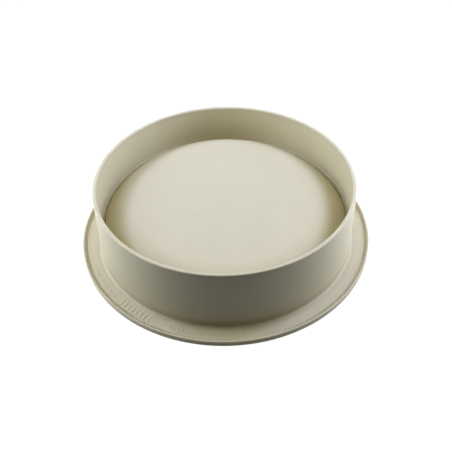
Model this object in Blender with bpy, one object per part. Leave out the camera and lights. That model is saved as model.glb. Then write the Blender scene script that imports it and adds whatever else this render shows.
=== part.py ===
"""Round silicone cake mould, modelled as it stands on its opening flange.

The mould is a drafted wall that rises from a flat flange. A domed floor closes it part of the way up: the
cavity for the cake is under the dome, and the wall carries on above it as the skirt that the mould stands on
when it is filled. All sizes are in metres, +Z is up and the origin is the centre of the flange's underside.
"""

import math

import bmesh
import bpy

MM = 0.001

# Driving sizes of the moulding.
OVERALL_HEIGHT = 50.0 * MM
OPENING_RADIUS = 90.0 * MM
WALL_THICKNESS = 2.6 * MM
WALL_DRAFT = math.radians(1.6)
LIP_ROUNDING = 0.7 * MM

# The flange round the opening, and the raised bead along its edge.
FLANGE_WIDTH = 15.5 * MM
FLANGE_RADIUS = OPENING_RADIUS + FLANGE_WIDTH
FLANGE_THICKNESS = 2.4 * MM
ROOT_FILLET = 2.2 * MM
ROOT_LAND = 0.5 * MM
BEAD_WIDTH = 2.5 * MM
BEAD_RISE = 1.7 * MM
BEAD_SLOPE = math.radians(50)
BEAD_ROUNDING = 0.4 * MM

# The floor: a flat ring that meets the wall, and the dome that rises inside it.
GROOVE_HEIGHT = 18.6 * MM
GROOVE_WIDTH = 1.9 * MM
FLOOR_THICKNESS = 2.4 * MM
FLOOR_SEAT_DEPTH = 0.7 * MM
CROWN_HEIGHT = 31.2 * MM
SHOULDER_WIDTH = 22.6 * MM

# Raised marks on the flange: groups of short radial ribs, as (centre angle in degrees, ribs, pitch, length).
MARK_RISE = 0.5 * MM
MARK_WIDTH = 0.9 * MM
MARK_TAPER = 0.7
MARK_PITCH = 2.9 * MM
WIDE_MARK_PITCH = 3.4 * MM
MARK_LENGTH = 2.6 * MM
LONG_MARK_LENGTH = 5.0 * MM
MARK_GROUPS = (
    (-149, 12, MARK_PITCH, MARK_LENGTH),
    (-128, 8, WIDE_MARK_PITCH, LONG_MARK_LENGTH),
    (-98, 18, MARK_PITCH, MARK_LENGTH),
)

# The rounded edge of the dome, as a share of the arc that would reach the groove without a straight slope.
BEND_SHARE = 0.83

# Clearance between pieces that sit on each other.
SEAT_GAP = 0.3 * MM

# How finely the turned shapes are cut.
SEGMENTS = 96
ROUNDING_STEPS = 3
SHOULDER_STEPS = 9
SHARP_ANGLE = math.radians(35)
WELD_DISTANCE = 0.001 * MM

SILICONE_COLOUR = (0.52, 0.48, 0.32, 1.0)
SILICONE_ROUGHNESS = 0.55


def wall_outer_radius(height):
    """Outer radius of the drafted wall at a height above the flange's underside."""
    return OPENING_RADIUS + WALL_THICKNESS - height * math.tan(WALL_DRAFT)


def wall_inner_radius(height):
    """Inner radius of the drafted wall at a height above the flange's underside."""
    return wall_outer_radius(height) - WALL_THICKNESS


def arc(centre, radius, start, end, steps):
    """Points (r, z) on an arc, both ends included; the angles are in degrees."""
    points = []
    for step in range(steps + 1):
        angle = math.radians(start + (end - start) * step / steps)
        points.append((centre[0] + radius * math.cos(angle), centre[1] + radius * math.sin(angle)))
    return points


def silicone():
    """The one material of the moulding."""
    material = bpy.data.materials.new("silicone")
    material.use_nodes = True
    shader = material.node_tree.nodes["Principled BSDF"]
    shader.inputs["Base Color"].default_value = SILICONE_COLOUR
    shader.inputs["Roughness"].default_value = SILICONE_ROUGHNESS
    shader.inputs["Metallic"].default_value = 0.0
    material.diffuse_color = SILICONE_COLOUR
    return material


def add_object(name, mesh, material):
    """Links a finished mesh to the scene as a smooth-shaded object."""
    mesh.materials.append(material)
    mesh.shade_smooth()
    mesh.set_sharp_from_angle(angle=SHARP_ANGLE)
    piece = bpy.data.objects.new(name, mesh)
    bpy.context.scene.collection.objects.link(piece)
    return piece


def turned(name, profile, material, reaches_axis=False):
    """Spins a profile of (r, z) points about the Z axis into a closed solid.

    A ring's profile is a closed loop. A disc's profile is a chain whose two ends lie on the axis.
    """
    mesh = bpy.data.meshes.new(name)
    work = bmesh.new()
    points = [work.verts.new((r, 0.0, z)) for r, z in profile]
    chain = list(zip(points, points[1:]))
    if not reaches_axis:
        chain.append((points[-1], points[0]))
    edges = [work.edges.new(pair) for pair in chain]
    bmesh.ops.spin(
        work,
        geom=points + edges,
        cent=(0.0, 0.0, 0.0),
        axis=(0.0, 0.0, 1.0),
        angle=2 * math.pi,
        steps=SEGMENTS,
        use_merge=True,
        use_duplicate=False,
    )
    bmesh.ops.remove_doubles(work, verts=work.verts, dist=WELD_DISTANCE)
    bmesh.ops.recalc_face_normals(work, faces=work.faces)
    work.to_mesh(mesh)
    work.free()
    return add_object(name, mesh, material)


def rim_flange(material):
    """Flat ring round the opening, with raised marks: the wall and the bead stand on its upper face."""
    profile = [
        (OPENING_RADIUS, 0.0),
        (FLANGE_RADIUS, 0.0),
        (FLANGE_RADIUS, FLANGE_THICKNESS),
        (OPENING_RADIUS, FLANGE_THICKNESS),
    ]
    flange = turned("rim_flange", profile, material)
    joined = flange.modifiers.new("raised marks", "BOOLEAN")
    joined.operation = "UNION"
    joined.solver = "EXACT"
    joined.object = raised_marks(material)
    return flange


def side_wall(material):
    """Drafted wall with a filleted root on the flange, a seat for the floor and a rounded top lip."""
    root = FLANGE_THICKNESS + SEAT_GAP
    foot_radius = wall_outer_radius(root) + ROOT_FILLET
    fillet_centre = (foot_radius, root + ROOT_LAND + ROOT_FILLET)
    top = OVERALL_HEIGHT
    lip_outer = (wall_outer_radius(top) - LIP_ROUNDING, top - LIP_ROUNDING)
    lip_inner = (wall_inner_radius(top) + LIP_ROUNDING, top - LIP_ROUNDING)
    seat_top = GROOVE_HEIGHT + SEAT_GAP
    seat_bottom = GROOVE_HEIGHT - FLOOR_THICKNESS - SEAT_GAP
    profile = [(wall_inner_radius(root), root), (foot_radius, root)]
    profile += arc(fillet_centre, ROOT_FILLET, 270, 180, ROUNDING_STEPS)
    profile += arc(lip_outer, LIP_ROUNDING, 0, 90, ROUNDING_STEPS)
    profile += arc(lip_inner, LIP_ROUNDING, 90, 180, ROUNDING_STEPS)
    profile += [
        (wall_inner_radius(seat_top), seat_top),
        (wall_inner_radius(seat_top) + FLOOR_SEAT_DEPTH, seat_top),
        (wall_inner_radius(seat_bottom) + FLOOR_SEAT_DEPTH, seat_bottom),
        (wall_inner_radius(seat_bottom), seat_bottom),
    ]
    return turned("side_wall", profile, material)


def edge_bead(material):
    """Raised bead that stiffens the outer edge of the flange: upright outside, sloped towards the wall."""
    base = FLANGE_THICKNESS + SEAT_GAP
    top = FLANGE_THICKNESS + BEAD_RISE
    outer = FLANGE_RADIUS
    inner = FLANGE_RADIUS - BEAD_WIDTH
    centre_height = top - BEAD_ROUNDING
    run = ((centre_height - base) * math.cos(BEAD_SLOPE) + BEAD_ROUNDING) / math.sin(BEAD_SLOPE)
    slope_end = 90 + math.degrees(BEAD_SLOPE)
    profile = [(inner, base), (outer, base)]
    profile += arc((outer - BEAD_ROUNDING, centre_height), BEAD_ROUNDING, 0, 90, ROUNDING_STEPS)
    profile += arc((inner + run, centre_height), BEAD_ROUNDING, 90, slope_end, ROUNDING_STEPS)
    return turned("edge_bead", profile, material)


def dome_foot_radius():
    """Radius at which the dome rises out of the groove."""
    return wall_inner_radius(GROOVE_HEIGHT) - GROOVE_WIDTH


def bend_radius():
    """Radius of the bend between the dome's flat crown and the straight slope down to the groove."""
    rise = CROWN_HEIGHT - GROOVE_HEIGHT
    return BEND_SHARE * (SHOULDER_WIDTH**2 + rise**2) / (2 * rise)


def slope_normal(centre, radius):
    """Angle of the normal of the straight slope that runs from the bend to the dome's foot."""
    out = dome_foot_radius() - centre[0]
    up = GROOVE_HEIGHT - centre[1]
    return math.atan2(up, out) + math.acos(radius / math.hypot(out, up))


def groove_ring(material):
    """Flat ring at the bottom of the groove: its outer edge sits in the wall's seat."""
    underside = GROOVE_HEIGHT - FLOOR_THICKNESS
    seat = FLOOR_SEAT_DEPTH - SEAT_GAP
    profile = [
        (dome_foot_radius(), underside),
        (wall_inner_radius(underside) + seat, underside),
        (wall_inner_radius(GROOVE_HEIGHT) + seat, GROOVE_HEIGHT),
        (dome_foot_radius(), GROOVE_HEIGHT),
    ]
    return turned("groove_ring", profile, material)


def domed_floor(material):
    """Dome of even thickness: flat crown, rounded edge, and a straight slope down to the groove."""
    radius = bend_radius()
    centre = (dome_foot_radius() - SHOULDER_WIDTH, CROWN_HEIGHT - radius)
    normal = slope_normal(centre, radius)
    inner_radius = radius - FLOOR_THICKNESS
    edge = dome_foot_radius() - SEAT_GAP
    edge_top = centre[1] + (radius - (edge - centre[0]) * math.cos(normal)) / math.sin(normal)
    underside = GROOVE_HEIGHT - FLOOR_THICKNESS
    inner_foot = centre[0] + (inner_radius - (underside - centre[1]) * math.sin(normal)) / math.cos(normal)
    bend_end = math.degrees(normal)
    profile = [(0.0, CROWN_HEIGHT)]
    profile += arc(centre, radius, 90, bend_end, SHOULDER_STEPS)
    profile += [(edge, edge_top), (edge, underside), (inner_foot, underside)]
    profile += arc(centre, inner_radius, bend_end, 90, SHOULDER_STEPS)
    profile += [(0.0, CROWN_HEIGHT - FLOOR_THICKNESS)]
    return turned("domed_floor", profile, material, reaches_axis=True)


def raised_marks(material):
    """Guide solid for the flange: groups of short radial ribs, with no lettering."""
    inner_edge = wall_outer_radius(FLANGE_THICKNESS) + ROOT_FILLET
    outer_edge = FLANGE_RADIUS - BEAD_WIDTH
    middle = (inner_edge + outer_edge) / 2
    mesh = bpy.data.meshes.new("raised_marks")
    work = bmesh.new()
    for centre_angle, ribs, pitch, length in MARK_GROUPS:
        for rib in range(ribs):
            along = (rib - (ribs - 1) / 2) * pitch
            angle = math.radians(centre_angle) + along / middle
            add_rib(work, angle, middle, length)
    bmesh.ops.recalc_face_normals(work, faces=work.faces)
    work.to_mesh(mesh)
    work.free()
    guide = add_object("raised_marks", mesh, material)
    guide.hide_render = True
    guide.display_type = "WIRE"
    return guide


def add_rib(work, angle, middle, length):
    """Adds one tapered rib, long in the radial direction, that starts halfway down the flange."""
    radial = (math.cos(angle), math.sin(angle))
    along = (-radial[1], radial[0])
    layers = []
    for height, share in ((FLANGE_THICKNESS / 2, 1.0), (FLANGE_THICKNESS + MARK_RISE, MARK_TAPER)):
        corners = []
        for out, side in ((-1, -1), (1, -1), (1, 1), (-1, 1)):
            reach = middle + out * share * length / 2
            across = side * share * MARK_WIDTH / 2
            x = reach * radial[0] + across * along[0]
            y = reach * radial[1] + across * along[1]
            corners.append(work.verts.new((x, y, height)))
        layers.append(corners)
    lower, upper = layers
    work.faces.new(list(reversed(lower)))
    work.faces.new(upper)
    for i in range(4):
        j = (i + 1) % 4
        work.faces.new((lower[i], lower[j], upper[j], upper[i]))


def build():
    """Clears the scene and makes every piece of the mould."""
    for old in list(bpy.data.objects):
        bpy.data.objects.remove(old)
    material = silicone()
    rim_flange(material)
    side_wall(material)
    edge_bead(material)
    groove_ring(material)
    domed_floor(material)


build()
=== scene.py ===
"""Looks of the round silicone cake mould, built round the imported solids.

The moulding is turned from one cross-section, so its five regions meet without a seam. Sizes are in metres,
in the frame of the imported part: +Z is up and the mould stands on z = 0.
"""

import math

import bmesh
import bpy
from mathutils import Matrix, Vector


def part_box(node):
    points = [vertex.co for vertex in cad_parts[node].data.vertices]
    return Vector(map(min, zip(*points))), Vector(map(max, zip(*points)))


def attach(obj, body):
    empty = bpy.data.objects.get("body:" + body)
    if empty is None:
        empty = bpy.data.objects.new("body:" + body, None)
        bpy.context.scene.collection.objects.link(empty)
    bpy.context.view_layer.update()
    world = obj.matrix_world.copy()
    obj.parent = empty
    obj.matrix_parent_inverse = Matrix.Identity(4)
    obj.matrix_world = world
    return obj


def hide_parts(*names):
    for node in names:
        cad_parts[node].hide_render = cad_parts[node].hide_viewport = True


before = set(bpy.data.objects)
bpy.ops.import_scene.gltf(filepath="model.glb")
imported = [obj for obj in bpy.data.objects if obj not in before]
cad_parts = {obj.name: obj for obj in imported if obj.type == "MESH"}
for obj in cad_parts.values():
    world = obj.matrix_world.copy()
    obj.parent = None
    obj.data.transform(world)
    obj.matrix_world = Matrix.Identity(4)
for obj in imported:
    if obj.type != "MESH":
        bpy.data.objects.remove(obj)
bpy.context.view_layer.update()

MM = 0.001

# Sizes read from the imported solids.
FLANGE_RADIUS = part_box("rim_flange")[1].x
BEAD_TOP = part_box("edge_bead")[1].z
WALL_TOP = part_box("side_wall")[1].z
GROOVE_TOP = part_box("groove_ring")[1].z
GROOVE_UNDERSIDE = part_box("groove_ring")[0].z
CROWN_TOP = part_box("domed_floor")[1].z

# Sizes of the moulding that no box of the solids gives.
OPENING_RADIUS = 90.0 * MM
WALL_THICKNESS = 2.6 * MM
WALL_DRAFT = math.radians(1.6)
LIP_ROUNDING = 0.7 * MM
FLANGE_TOP = 2.4 * MM
FLANGE_EDGE_ROUNDING = 0.4 * MM
OPENING_ROUNDING = 0.8 * MM
ROOT_FILLET = 2.2 * MM
BEAD_WIDTH = 2.5 * MM
BEAD_SLOPE = math.radians(50)
BEAD_ROUNDING = 0.4 * MM
BEAD_CORNER_FILLET = 0.6 * MM
GROOVE_WIDTH = 1.9 * MM
GROOVE_CORNER_FILLET = 1.3 * MM
CREASE_DEPTH = 0.9 * MM
CREASE_WIDTH = 0.45 * MM
CAVITY_CORNER_FILLET = 1.2 * MM
CROWN_RADIUS = 65.0 * MM
DOME_BEND = 22.0 * MM

# Raised marks on the flange: groups of plain radial bars, as (centre angle, bars, pitch, length).
MARK_RISE = 0.24 * MM
MARK_WIDTH = 0.8 * MM
MARK_GROUPS = (
    (math.radians(-149), 12, 2.9 * MM, 2.6 * MM),
    (math.radians(-128), 8, 3.4 * MM, 5.0 * MM),
    (math.radians(-98), 18, 2.9 * MM, 2.6 * MM),
)

# How finely the shapes are cut.
SEGMENTS = 384
FINE_STEP = math.radians(6)
BEND_STEPS = 40
FLAT_STEP = 4.0 * MM
MARK_END_STEPS = 6
MARK_CROWN_STEPS = 3
SHARP_ANGLE = math.radians(35)
WELD_DISTANCE = 0.0005 * MM

# The silicone. Its colour drifts between two stops, as (place on the ramp, colour).
COLOUR_STOPS = (
    (0.25, (0.522, 0.464, 0.299, 1.0)),
    (0.75, (0.558, 0.496, 0.319, 1.0)),
)
ROUGHNESS = (0.46, 0.58)
REFRACTIVE_INDEX = 1.42
SPECULAR_LEVEL = 0.15

# Noises in the silicone, their scales per metre: a wide cloud, a finer mottle and the grain of the surface.
CLOUD_SCALE = 45.0
CLOUD_DETAIL = 3.0
MOTTLE_SCALE = 420.0
MOTTLE_DETAIL = 2.0
MOTTLE_SHARE = 0.35
GRAIN_SCALE = 2600.0
GRAIN_DETAIL = 2.0
GRAIN_STRENGTH = 0.35
GRAIN_HEIGHT = 0.02 * MM

# Painted shade: corners of the section in which the colour is darkened where shade falls, as (radius, height,
# reach, depth of the painted shade).
ROOT_PAINTED_SHADE = (OPENING_RADIUS + WALL_THICKNESS, FLANGE_TOP + 2.5 * MM, 6.0 * MM, 0.16)
GROOVE_PAINTED_SHADE = (OPENING_RADIUS - 1.6 * MM, GROOVE_TOP - 0.4 * MM, 2.8 * MM, 0.28)

# Painted warm bounce light: the inside is painted a little warmer, as light bounced inside the mould makes
# it; the start and end of each fade, and the change of the colour.
INSIDE_SHOULDER = (CROWN_RADIUS + DOME_BEND / 2, CROWN_RADIUS + DOME_BEND)
INSIDE_WALL = (OPENING_RADIUS + 0.6 * MM, OPENING_RADIUS - 0.4 * MM)
INSIDE_HEIGHT = (WALL_TOP - 1.0 * MM, WALL_TOP - 6.0 * MM)
PAINTED_BOUNCE_CHANGE = (0.06, 0.06, -0.01)

# The white ground: the floor's half width, its gap below the mould, and its greys for bounce and shadow.
WHITE = (1.0, 1.0, 1.0, 1.0)
FLOOR_HALF = 3.0
FLOOR_CELLS = 8
FLOOR_GAP = 0.2 * MM
FLOOR_COLOUR = (0.45, 0.45, 0.45, 1.0)
FLOOR_SHADOW_COLOUR = (0.16, 0.16, 0.16, 1.0)
FLOOR_GLOW = 0.96

# Soft boxes beside and above the mould, as (name, centre, facing, width and height, watts, tint).
RIGHTWARD = (1, 0, 0)
LEFTWARD = (-1, 0, 0)
DOWNWARD = (0, 0, -1)
SIDE_BOX = (0.16, 0.12)
NEAR_BOX = (0.12, 0.10)
TOP_BOX = (0.16, 0.16)
WIDE_BOX = (0.36, 0.36)
COOL = (0.90, 1.00, 1.57)
WARM = (0.98, 1.00, 0.90)
PLAIN = (0.91, 1.00, 1.15)
SOFT_BOXES = (
    ("left_low", (-0.34, 0.00, 0.07), RIGHTWARD, SIDE_BOX, 0.41, PLAIN),
    ("left_middle", (-0.34, 0.00, 0.19), RIGHTWARD, SIDE_BOX, 0.52, PLAIN),
    ("left_high", (-0.34, 0.15, 0.31), RIGHTWARD, SIDE_BOX, 1.17, COOL),
    ("left_near", (-0.20, 0.00, 0.26), RIGHTWARD, NEAR_BOX, 0.16, COOL),
    ("left_top", (-0.24, -0.04, 0.44), DOWNWARD, TOP_BOX, 0.38, WARM),
    ("right_low", (0.34, 0.00, 0.07), LEFTWARD, SIDE_BOX, 0.52, PLAIN),
    ("right_middle", (0.34, 0.15, 0.19), LEFTWARD, SIDE_BOX, 0.32, COOL),
    ("right_upper", (0.34, 0.15, 0.31), LEFTWARD, SIDE_BOX, 0.92, COOL),
    ("right_high", (0.34, 0.15, 0.43), LEFTWARD, SIDE_BOX, 0.76, COOL),
    ("right_near", (0.20, 0.00, 0.16), LEFTWARD, NEAR_BOX, 0.13, COOL),
    ("right_top", (0.24, -0.04, 0.44), DOWNWARD, TOP_BOX, 0.43, WARM),
    ("overhead", (0.00, 0.00, 0.80), DOWNWARD, WIDE_BOX, 0.76, WARM),
)

# The camera of the photograph. Its sensor is in millimetres, as Blender has it.
PHOTO_PIXELS = 452
FOCAL_PIXELS = 605.0
SENSOR_WIDTH = 36.0
CAMERA_DISTANCE = 453.5 * MM
CAMERA_ELEVATION = math.radians(43.6)
CAMERA_ROLL = math.radians(1.5)
CAMERA_TARGET = Vector((0.4 * MM, 0.0, 3.7 * MM))


def wall_outer_radius(height):
    """Outer radius of the drafted wall at a height."""
    return OPENING_RADIUS + WALL_THICKNESS - height * math.tan(WALL_DRAFT)


def wall_inner_radius(height):
    """Inner radius of the drafted wall at a height."""
    return wall_outer_radius(height) - WALL_THICKNESS


def root_radius():
    """Radius at which the fillet of the wall's root meets the flat of the flange."""
    return wall_outer_radius(FLANGE_TOP) + ROOT_FILLET


def dome_foot_radius():
    """Radius at which the dome rises out of the groove."""
    return wall_inner_radius(GROOVE_TOP) - GROOVE_WIDTH


def neighbours(items, closed=True):
    """Each item paired with the next, and the last one with the first where the run is closed."""
    pairs = list(zip(items, items[1:]))
    if closed:
        pairs.append((items[-1], items[0]))
    return pairs


def rounded(corners):
    """Closed outline through the corners (r, z, rounding), each rounded by an arc of its own radius."""
    points = []
    for index, (r, z, rounding) in enumerate(corners):
        here = Vector((r, z))
        if rounding == 0:
            points.append(here)
            continue
        before = Vector(corners[index - 1][:2]) - here
        after = Vector(corners[(index + 1) % len(corners)][:2]) - here
        points += corner_arc(here, before.normalized(), after.normalized(), rounding)
    return points


def corner_arc(corner, before, after, rounding):
    """Points of the arc that rounds a corner between the directions to its two neighbours."""
    opening = before.angle(after)
    reach = rounding / math.tan(opening / 2)
    centre = corner + (before + after).normalized() * rounding / math.sin(opening / 2)
    start = corner + before * reach - centre
    turn = math.pi - opening
    if before.cross(after) > 0:
        turn = -turn
    steps = max(2, math.ceil(abs(turn) / FINE_STEP))
    points = []
    for step in range(steps + 1):
        points.append(centre + Matrix.Rotation(turn * step / steps, 2) @ start)
    return points


def split_long(points, closed):
    """The outline with its long straight stretches cut into short ones."""
    result = []
    for start, end in neighbours(points, closed):
        parts = max(1, math.ceil((end - start).length / FLAT_STEP))
        for part in range(parts):
            result.append(start.lerp(end, part / parts))
    if not closed:
        result.append(points[-1])
    return result


def turned(name, outline, closed=True):
    """Spins an outline of (r, z) points about the Z axis. An open outline starts and ends on the axis."""
    mesh = bpy.data.meshes.new(name)
    work = bmesh.new()
    vertices = [work.verts.new((point.x, 0.0, point.y)) for point in split_long(outline, closed)]
    edges = [work.edges.new(pair) for pair in neighbours(vertices, closed)]
    bmesh.ops.spin(
        work,
        geom=vertices + edges,
        cent=(0.0, 0.0, 0.0),
        axis=(0.0, 0.0, 1.0),
        angle=2 * math.pi,
        steps=SEGMENTS,
        use_merge=True,
    )
    bmesh.ops.remove_doubles(work, verts=work.verts, dist=WELD_DISTANCE)
    bmesh.ops.recalc_face_normals(work, faces=work.faces)
    work.to_mesh(mesh)
    work.free()
    return add_object(name, mesh)


def smooth(mesh):
    """Shades a mesh smooth, apart from its sharp edges."""
    mesh.shade_smooth()
    mesh.set_sharp_from_angle(angle=SHARP_ANGLE)


def add_object(name, mesh):
    """Links a finished mesh to the scene as a smooth-shaded object."""
    smooth(mesh)
    piece = bpy.data.objects.new(name, mesh)
    bpy.context.scene.collection.objects.link(piece)
    return piece


def flange_skin():
    """The flat ring, its edges rounded, with the raised marks joined on."""
    outline = rounded([
        (OPENING_RADIUS, 0.0, OPENING_ROUNDING),
        (FLANGE_RADIUS, 0.0, FLANGE_EDGE_ROUNDING),
        (FLANGE_RADIUS, FLANGE_TOP, 0),
        (FLANGE_RADIUS - BEAD_WIDTH - BEAD_CORNER_FILLET, FLANGE_TOP, 0),
        (root_radius(), FLANGE_TOP, 0),
        (wall_inner_radius(FLANGE_TOP), FLANGE_TOP, 0),
    ])
    skin = turned("flange_skin", outline)
    marks = mark_bars((root_radius() + FLANGE_RADIUS - BEAD_WIDTH) / 2)
    joined = skin.modifiers.new("raised marks", "BOOLEAN")
    joined.operation = "UNION"
    joined.solver = "EXACT"
    joined.object = marks
    apply_modifiers(skin)
    bpy.data.objects.remove(marks)
    return skin


def apply_modifiers(piece):
    """Replaces the piece's mesh by what its modifiers make of it."""
    graph = bpy.context.evaluated_depsgraph_get()
    finished = bpy.data.meshes.new_from_object(piece.evaluated_get(graph))
    piece.modifiers.clear()
    piece.data = finished
    smooth(finished)


def mark_bars(middle):
    """All the raised bars in one mesh, centred on one radius. Each is closed and starts inside the flange."""
    mesh = bpy.data.meshes.new("mark_bars")
    work = bmesh.new()
    for centre_angle, bars, pitch, length in MARK_GROUPS:
        for bar in range(bars):
            angle = centre_angle + (bar - (bars - 1) / 2) * pitch / middle
            place = Matrix.Rotation(angle, 4, "Z") @ Matrix.Translation((middle, 0.0, FLANGE_TOP))
            add_bar(work, place, length)
    bmesh.ops.recalc_face_normals(work, faces=work.faces)
    work.to_mesh(mesh)
    work.free()
    return add_object("mark_bars", mesh)


def add_bar(work, place, length):
    """One bar with round ends and a crowned top, long along X, in the frame that place gives."""
    half_width = MARK_WIDTH / 2
    profile = [(half_width, -MARK_RISE)]
    for step in range(MARK_CROWN_STEPS + 1):
        angle = math.pi / 2 * step / (MARK_CROWN_STEPS + 1)
        profile.append((half_width * math.cos(angle), MARK_RISE * math.sin(angle)))
    rings = [stadium(work, place, length / 2 - half_width, radius, height) for radius, height in profile]
    for lower, upper in zip(rings, rings[1:]):
        for (low, low_after), (high, high_after) in zip(neighbours(lower), neighbours(upper)):
            work.faces.new((low, low_after, high_after, high))
    work.faces.new(list(reversed(rings[0])))
    work.faces.new(rings[-1])


def stadium(work, place, half_run, radius, height):
    """Ring of vertices round a straight run with half-round ends."""
    ring = []
    for end, start_angle in ((half_run, -math.pi / 2), (-half_run, math.pi / 2)):
        for step in range(MARK_END_STEPS + 1):
            angle = start_angle + math.pi * step / MARK_END_STEPS
            spot = Vector((end + radius * math.cos(angle), radius * math.sin(angle), height))
            ring.append(work.verts.new(place @ spot))
    return ring


def bead_skin():
    """The raised bead on the flange's edge: upright outside, and sloped down to the flat inside."""
    inner = FLANGE_RADIUS - BEAD_WIDTH
    ridge = inner + (BEAD_TOP - FLANGE_TOP) / math.tan(BEAD_SLOPE)
    outline = rounded([
        (FLANGE_RADIUS, FLANGE_TOP, 0),
        (FLANGE_RADIUS, BEAD_TOP, BEAD_ROUNDING),
        (ridge, BEAD_TOP, BEAD_ROUNDING),
        (inner, FLANGE_TOP, BEAD_CORNER_FILLET),
        (inner - BEAD_CORNER_FILLET, FLANGE_TOP, 0),
    ])
    return turned("bead_skin", outline)


def wall_skin():
    """The drafted wall: filleted root outside, rounded lip, and fillets above and below the groove's ring."""
    inner_groove = wall_inner_radius(GROOVE_TOP)
    inner_cavity = wall_inner_radius(GROOVE_UNDERSIDE)
    outline = rounded([
        (wall_inner_radius(FLANGE_TOP), FLANGE_TOP, 0),
        (root_radius(), FLANGE_TOP, 0),
        (wall_outer_radius(FLANGE_TOP), FLANGE_TOP, ROOT_FILLET),
        (wall_outer_radius(WALL_TOP), WALL_TOP, LIP_ROUNDING),
        (wall_inner_radius(WALL_TOP), WALL_TOP, LIP_ROUNDING),
        (inner_groove, GROOVE_TOP, GROOVE_CORNER_FILLET),
        (inner_groove - GROOVE_CORNER_FILLET, GROOVE_TOP, 0),
        (inner_cavity - CAVITY_CORNER_FILLET, GROOVE_UNDERSIDE, 0),
        (inner_cavity, GROOVE_UNDERSIDE, CAVITY_CORNER_FILLET),
    ])
    return turned("wall_skin", outline)


def groove_skin():
    """The ring under the groove, from the wall's fillets to the crease at the dome's foot."""
    foot = dome_foot_radius()
    outline = rounded([
        (foot, GROOVE_UNDERSIDE, 0),
        (wall_inner_radius(GROOVE_UNDERSIDE) - CAVITY_CORNER_FILLET, GROOVE_UNDERSIDE, 0),
        (wall_inner_radius(GROOVE_TOP) - GROOVE_CORNER_FILLET, GROOVE_TOP, 0),
        (foot + CREASE_WIDTH, GROOVE_TOP, 0),
        (foot, GROOVE_TOP - CREASE_DEPTH, 0),
    ])
    return turned("groove_skin", outline)


def slope_normal(centre, foot):
    """Angle of the normal of the straight slope that runs from the dome's rounded edge to its foot."""
    away = foot - centre
    return math.atan2(away.y, away.x) + math.acos(DOME_BEND / away.length)


def bend(centre, radius, normal):
    """Arc of the dome's rounded edge, from the level crown to the slope, as (r, z) points."""
    points = []
    for step in range(BEND_STEPS + 1):
        angle = math.pi / 2 + (normal - math.pi / 2) * step / BEND_STEPS
        points.append(centre + radius * Vector((math.cos(angle), math.sin(angle))))
    return points


def dome_skin():
    """The dome: level crown, rounded edge, straight slope, and the same inside at an even thickness."""
    thickness = GROOVE_TOP - GROOVE_UNDERSIDE
    foot = Vector((dome_foot_radius(), GROOVE_TOP - CREASE_DEPTH))
    centre = Vector((CROWN_RADIUS, CROWN_TOP - DOME_BEND))
    normal = slope_normal(centre, foot)
    inner_bend = DOME_BEND - thickness
    inner_drop = GROOVE_UNDERSIDE - centre.y
    inner_run = (inner_bend - inner_drop * math.sin(normal)) / math.cos(normal)
    outline = [Vector((0.0, CROWN_TOP))]
    outline += bend(centre, DOME_BEND, normal)
    outline += [foot, Vector((foot.x, GROOVE_UNDERSIDE))]
    outline.append(Vector((centre.x + inner_run, GROOVE_UNDERSIDE)))
    outline += reversed(bend(centre, inner_bend, normal))
    outline.append(Vector((0.0, CROWN_TOP - thickness)))
    return turned("dome_skin", outline, closed=False)


def cleared_tree(owner):
    """The node tree of a material or a world, with nothing in it."""
    owner.use_nodes = True
    owner.node_tree.nodes.clear()
    return owner.node_tree


def maths(tree, operation, first, second):
    """The result of one operation on two values."""
    node = tree.nodes.new("ShaderNodeMath")
    node.operation = operation
    tree.links.new(first, node.inputs[0])
    tree.links.new(second, node.inputs[1])
    return node.outputs["Value"]


def mapped(tree, value, source, target, curve="SMOOTHSTEP"):
    """A value carried over from one range to another, each given as (start, end)."""
    node = tree.nodes.new("ShaderNodeMapRange")
    node.interpolation_type = curve
    for socket, number in zip(("From Min", "From Max", "To Min", "To Max"), source + target):
        node.inputs[socket].default_value = number
    tree.links.new(value, node.inputs["Value"])
    return node.outputs["Result"]


def noise(tree, coordinates, scale, detail):
    """A noise texture in object coordinates."""
    texture = tree.nodes.new("ShaderNodeTexNoise")
    texture.inputs["Scale"].default_value = scale
    texture.inputs["Detail"].default_value = detail
    tree.links.new(coordinates, texture.inputs["Vector"])
    return texture.outputs["Fac"]


def section_place(tree, coordinates):
    """The place on the turned cross-section, as a vector of radius, zero and height."""
    parts = tree.nodes.new("ShaderNodeSeparateXYZ")
    tree.links.new(coordinates, parts.inputs["Vector"])
    level = tree.nodes.new("ShaderNodeCombineXYZ")
    tree.links.new(parts.outputs["X"], level.inputs["X"])
    tree.links.new(parts.outputs["Y"], level.inputs["Y"])
    radius = tree.nodes.new("ShaderNodeVectorMath")
    radius.operation = "LENGTH"
    tree.links.new(level.outputs["Vector"], radius.inputs[0])
    place = tree.nodes.new("ShaderNodeCombineXYZ")
    tree.links.new(radius.outputs["Value"], place.inputs["X"])
    tree.links.new(parts.outputs["Z"], place.inputs["Z"])
    return place.outputs["Vector"]


def painted_corner_shade(tree, place, corner):
    """Painted shade near a corner of the section: level of the colour, deepest in the corner, 1 away from it.
    """
    radius, height, reach, depth = corner
    away = tree.nodes.new("ShaderNodeVectorMath")
    away.operation = "DISTANCE"
    away.inputs[1].default_value = (radius, 0.0, height)
    tree.links.new(place, away.inputs[0])
    return mapped(tree, away.outputs["Value"], (0.0, reach), (1.0 - depth, 1.0))


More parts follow.
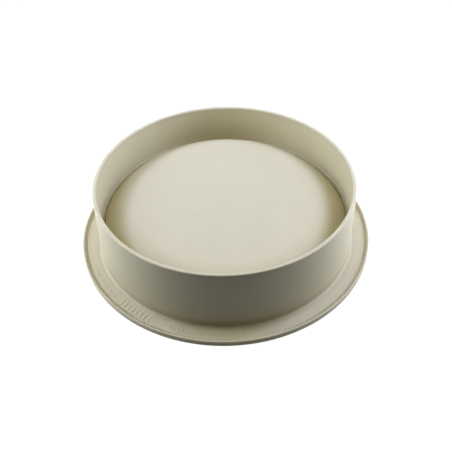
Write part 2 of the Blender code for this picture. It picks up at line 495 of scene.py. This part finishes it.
def painted_bounce_tint(tree, place):
    """Factor for the colour that paints warm bounce light: 1 outside, and a little warmer on the shoulder and
    the wall's inner face.
    """
    parts = tree.nodes.new("ShaderNodeSeparateXYZ")
    tree.links.new(place, parts.inputs["Vector"])
    past_crown = mapped(tree, parts.outputs["X"], INSIDE_SHOULDER, (0.0, 1.0))
    within_wall = mapped(tree, parts.outputs["X"], INSIDE_WALL, (0.0, 1.0))
    below_lip = mapped(tree, parts.outputs["Z"], INSIDE_HEIGHT, (0.0, 1.0))
    ring = maths(tree, "MULTIPLY", past_crown, within_wall)
    tint = tree.nodes.new("ShaderNodeVectorMath")
    tint.operation = "MULTIPLY_ADD"
    tint.inputs[1].default_value = PAINTED_BOUNCE_CHANGE
    tint.inputs[2].default_value = (1.0, 1.0, 1.0)
    tree.links.new(maths(tree, "MULTIPLY", ring, below_lip), tint.inputs[0])
    return tint.outputs["Vector"]


def clouded_colour(tree, coordinates, cloud):
    """The silicone's own colour, drifting with the cloud and a finer mottle."""
    both = tree.nodes.new("ShaderNodeMix")
    both.inputs["Factor"].default_value = MOTTLE_SHARE
    tree.links.new(cloud, both.inputs["A"])
    tree.links.new(noise(tree, coordinates, MOTTLE_SCALE, MOTTLE_DETAIL), both.inputs["B"])
    ramp = tree.nodes.new("ShaderNodeValToRGB")
    for stop, (position, colour) in zip(ramp.color_ramp.elements, COLOUR_STOPS):
        stop.position = position
        stop.color = colour
    tree.links.new(both.outputs["Result"], ramp.inputs["Fac"])
    return ramp.outputs["Color"]


def colour_with_painted_light(tree, coordinates, colour):
    """The colour with painted light: painted warm bounce light on the inside, and painted shade in the
    corners of the section.
    """
    place = section_place(tree, coordinates)
    # Painted warm bounce light on the shoulder and the wall's inner face.
    bounce_tinted = tree.nodes.new("ShaderNodeVectorMath")
    bounce_tinted.operation = "MULTIPLY"
    tree.links.new(colour, bounce_tinted.inputs[0])
    tree.links.new(painted_bounce_tint(tree, place), bounce_tinted.inputs[1])
    # Painted shade: the colour darkened in the root and groove corners, where shade falls.
    root_shade = painted_corner_shade(tree, place, ROOT_PAINTED_SHADE)
    groove_shade = painted_corner_shade(tree, place, GROOVE_PAINTED_SHADE)
    corner_shaded = tree.nodes.new("ShaderNodeVectorMath")
    corner_shaded.operation = "SCALE"
    tree.links.new(bounce_tinted.outputs["Vector"], corner_shaded.inputs["Vector"])
    tree.links.new(maths(tree, "MULTIPLY", root_shade, groove_shade), corner_shaded.inputs["Scale"])
    return corner_shaded.outputs["Vector"]


def grained_normal(tree, coordinates):
    """Normal of the surface with a fine grain on it."""
    bump = tree.nodes.new("ShaderNodeBump")
    bump.inputs["Strength"].default_value = GRAIN_STRENGTH
    bump.inputs["Distance"].default_value = GRAIN_HEIGHT
    tree.links.new(noise(tree, coordinates, GRAIN_SCALE, GRAIN_DETAIL), bump.inputs["Height"])
    return bump.outputs["Normal"]


def silicone():
    """Matte moulded silicone: clouded colour, painted shade in its corners, painted warm bounce light inside,
    uneven sheen and a fine grain.
    """
    material = bpy.data.materials.new("matte_silicone")
    material.use_nodes = True
    tree = material.node_tree
    shader = tree.nodes["Principled BSDF"]
    shader.inputs["IOR"].default_value = REFRACTIVE_INDEX
    shader.inputs["Specular IOR Level"].default_value = SPECULAR_LEVEL
    coordinates = tree.nodes.new("ShaderNodeTexCoord").outputs["Object"]
    cloud = noise(tree, coordinates, CLOUD_SCALE, CLOUD_DETAIL)
    # The base colour carries painted shade in the corners and painted warm bounce light on the inside.
    colour = colour_with_painted_light(tree, coordinates, clouded_colour(tree, coordinates, cloud))
    roughness = mapped(tree, cloud, (0.0, 1.0), ROUGHNESS, "LINEAR")
    tree.links.new(colour, shader.inputs["Base Color"])
    tree.links.new(roughness, shader.inputs["Roughness"])
    tree.links.new(grained_normal(tree, coordinates), shader.inputs["Normal"])
    return material


def make_mould():
    """Every region of the moulding, dressed and riding on the one body."""
    finish = silicone()
    skins = (
        (flange_skin(), "rim_flange"),
        (bead_skin(), "edge_bead"),
        (wall_skin(), "side_wall"),
        (groove_skin(), "groove_ring"),
        (dome_skin(), "domed_floor"),
    )
    for skin, node in skins:
        skin.data.materials.append(finish)
        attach(skin, "root")
        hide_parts(node)


def seen_directly(tree):
    """1 where a camera, glossy or transmission ray looks, else 0."""
    path = tree.nodes.new("ShaderNodeLightPath")
    seen = maths(tree, "MAXIMUM", path.outputs["Is Camera Ray"], path.outputs["Is Glossy Ray"])
    return maths(tree, "MAXIMUM", seen, path.outputs["Is Transmission Ray"])


def make_world():
    """White background where it is seen directly, and no light from it elsewhere."""
    world = bpy.data.worlds.new("studio")
    bpy.context.scene.world = world
    tree = cleared_tree(world)
    white = tree.nodes.new("ShaderNodeBackground")
    white.inputs["Color"].default_value = WHITE
    tree.links.new(seen_directly(tree), white.inputs["Strength"])
    output = tree.nodes.new("ShaderNodeOutputWorld")
    tree.links.new(white.outputs["Background"], output.inputs["Surface"])


def floor_paper():
    """Paper that bounces light as a mid grey does, but looks white, with a faint shadow of the mould."""
    material = bpy.data.materials.new("studio_paper")
    tree = cleared_tree(material)
    paper = tree.nodes.new("ShaderNodeBsdfDiffuse")
    paper.inputs["Color"].default_value = FLOOR_COLOUR
    shadowed = tree.nodes.new("ShaderNodeBsdfDiffuse")
    shadowed.inputs["Color"].default_value = FLOOR_SHADOW_COLOUR
    glow = tree.nodes.new("ShaderNodeEmission")
    glow.inputs["Color"].default_value = WHITE
    glow.inputs["Strength"].default_value = FLOOR_GLOW
    looks = tree.nodes.new("ShaderNodeAddShader")
    tree.links.new(shadowed.outputs["BSDF"], looks.inputs[0])
    tree.links.new(glow.outputs["Emission"], looks.inputs[1])
    mix = tree.nodes.new("ShaderNodeMixShader")
    tree.links.new(seen_directly(tree), mix.inputs["Fac"])
    tree.links.new(paper.outputs["BSDF"], mix.inputs[1])
    tree.links.new(looks.outputs["Shader"], mix.inputs[2])
    output = tree.nodes.new("ShaderNodeOutputMaterial")
    tree.links.new(mix.outputs["Shader"], output.inputs["Surface"])
    return material


def make_floor():
    """Wide floor just under the mould."""
    mesh = bpy.data.meshes.new("studio_floor")
    work = bmesh.new()
    bmesh.ops.create_grid(work, x_segments=FLOOR_CELLS, y_segments=FLOOR_CELLS, size=FLOOR_HALF)
    work.to_mesh(mesh)
    work.free()
    mesh.materials.append(floor_paper())
    floor = bpy.data.objects.new("studio_floor", mesh)
    floor.location = (0.0, 0.0, -FLOOR_GAP)
    bpy.context.scene.collection.objects.link(floor)


def make_lamps():
    """Soft rectangular lamps, out of the camera's sight."""
    for name, centre, facing, size, watts, tint in SOFT_BOXES:
        light = bpy.data.lights.new(name, "AREA")
        light.shape = "RECTANGLE"
        light.size, light.size_y = size
        light.energy = watts
        light.color = tint
        lamp = bpy.data.objects.new(name, light)
        lamp.location = centre
        lamp.rotation_mode = "QUATERNION"
        lamp.rotation_quaternion = (-Vector(facing)).to_track_quat("Z", "Y")
        lamp.visible_camera = False
        bpy.context.scene.collection.objects.link(lamp)


def make_camera():
    """The photograph's view: above the front, slightly rolled."""
    data = bpy.data.cameras.new("photo_camera")
    data.sensor_width = SENSOR_WIDTH
    data.lens = FOCAL_PIXELS / PHOTO_PIXELS * SENSOR_WIDTH
    camera = bpy.data.objects.new("photo_camera", data)
    back = Vector((0.0, -math.cos(CAMERA_ELEVATION), math.sin(CAMERA_ELEVATION)))
    level = (-back).to_track_quat("-Z", "Y")
    camera.location = CAMERA_TARGET + back * CAMERA_DISTANCE
    camera.rotation_mode = "QUATERNION"
    camera.rotation_quaternion = level @ Matrix.Rotation(-CAMERA_ROLL, 4, "Z").to_quaternion()
    bpy.context.scene.collection.objects.link(camera)
    bpy.context.scene.camera = camera


bpy.context.scene.view_settings.view_transform = "Standard"
make_world()
make_camera()
make_lamps()
make_floor()
make_mould()
